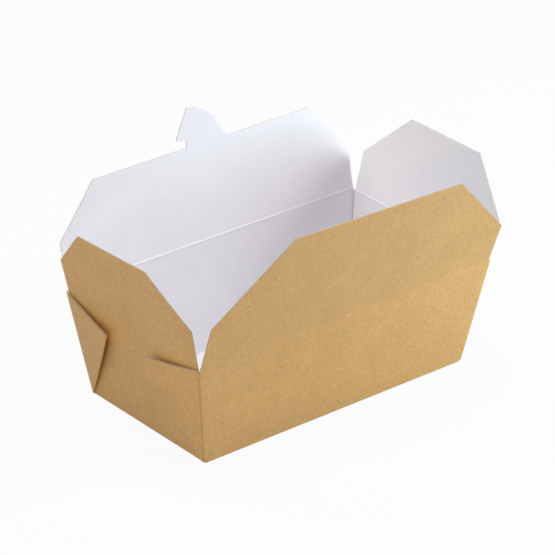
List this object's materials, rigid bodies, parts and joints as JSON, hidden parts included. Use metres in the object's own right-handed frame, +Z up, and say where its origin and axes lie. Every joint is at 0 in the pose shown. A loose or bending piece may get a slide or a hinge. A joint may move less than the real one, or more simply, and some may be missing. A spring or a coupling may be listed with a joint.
{
  "type": "folded takeaway box",
  "caption": "Open folded takeaway food box with tapered walls, web corners, four hinged lid flaps and a hook tab that locks them shut.",
  "frame": {"origin": "centre of the base's outer face, which rests on the surface", "axes": "+X along the box to its right end, +Y from the front wall to the rear wall that carries the hook tab's flap, +Z up"},
  "size_m": [0.2304, 0.1489, 0.1377],
  "materials": {
    "kraft_board": "matte"
  },
  "bodies": {
    "tray": {"tray": "kraft_board"},
    "front_flap": {"front_flap": "kraft_board"},
    "rear_flap": {"rear_flap": "kraft_board"},
    "left_end_flap": {"left_end_flap": "kraft_board"},
    "right_end_flap": {"right_end_flap": "kraft_board"}
  },
  "joints": [
    {"name": "left_end_fold", "type": "hinge", "parent": "tray", "child": "left_end_flap", "pos_m": [-0.1, 0, 0.062], "axis": [0, 1, 0], "range_deg": [-74.5, 105.5]},
    {"name": "right_end_fold", "type": "hinge", "parent": "tray", "child": "right_end_flap", "pos_m": [0.1, 0, 0.062], "axis": [0, -1, 0], "range_deg": [-71, 109]},
    {"name": "front_fold", "type": "hinge", "parent": "tray", "child": "front_flap", "pos_m": [0, -0.05559, 0.06265], "axis": [-1, 0, 0], "range_deg": [-72.5, 107.5]},
    {"name": "rear_fold", "type": "hinge", "parent": "tray", "child": "rear_flap", "pos_m": [0, 0.05567, 0.0633], "axis": [1, 0, 0], "range_deg": [-78, 102]}
  ]
}
